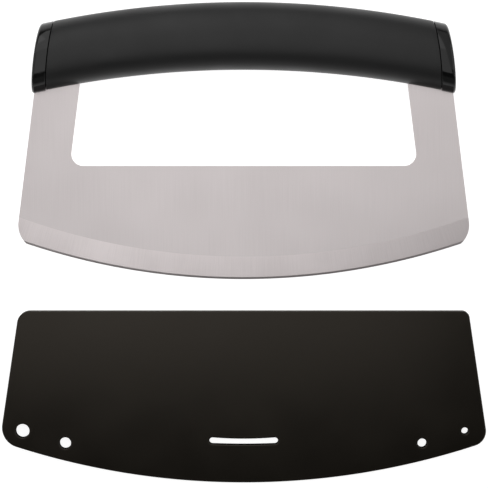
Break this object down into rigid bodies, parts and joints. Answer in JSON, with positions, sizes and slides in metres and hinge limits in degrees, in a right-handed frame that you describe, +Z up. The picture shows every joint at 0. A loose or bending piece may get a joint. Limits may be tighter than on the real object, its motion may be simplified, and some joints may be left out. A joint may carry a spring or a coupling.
{
  "type": "mezzaluna",
  "caption": "Rocking herb knife with a curved steel blade hung under one arched soft-grip handle, and its slotted, pierced blade cover taken off and lying in front of it.",
  "frame": {"origin": "centre of the bounding box's underside, on the table that the knife and its cover lie on", "axes": "+X along the blade to the right, +Y along the table from the cover to the handle, +Z up from the table"},
  "size_m": [0.2132, 0.211, 0.0245],
  "materials": {
    "blade_steel": "fine satin, brushed from the edge towards the handle, and ground in the band above the edge",
    "pin_steel": "ground",
    "grip_rubber": "soft matt",
    "cap_plastic": "high gloss",
    "core_plastic": "as moulded",
    "cover_plastic": "satin, as moulded"
  },
  "bodies": {
    "knife": {"blade": "blade_steel", "handle_core_front": "core_plastic", "handle_core_back": "core_plastic", "soft_grip": "grip_rubber", "end_cap_left": "cap_plastic", "end_cap_right": "cap_plastic", "tang_pin_left_lower": "pin_steel", "tang_pin_left_upper": "pin_steel", "tang_pin_right_lower": "pin_steel", "tang_pin_right_upper": "pin_steel"},
    "cover": {"cover_front": "cover_plastic", "cover_back": "cover_plastic"}
  },
  "joints": [
    {"name": "cover_slide", "type": "slide", "parent": "knife", "child": "cover", "axis": [0, 0.9987, 0.0509], "range_m": [0, 0.0677]}
  ]
}
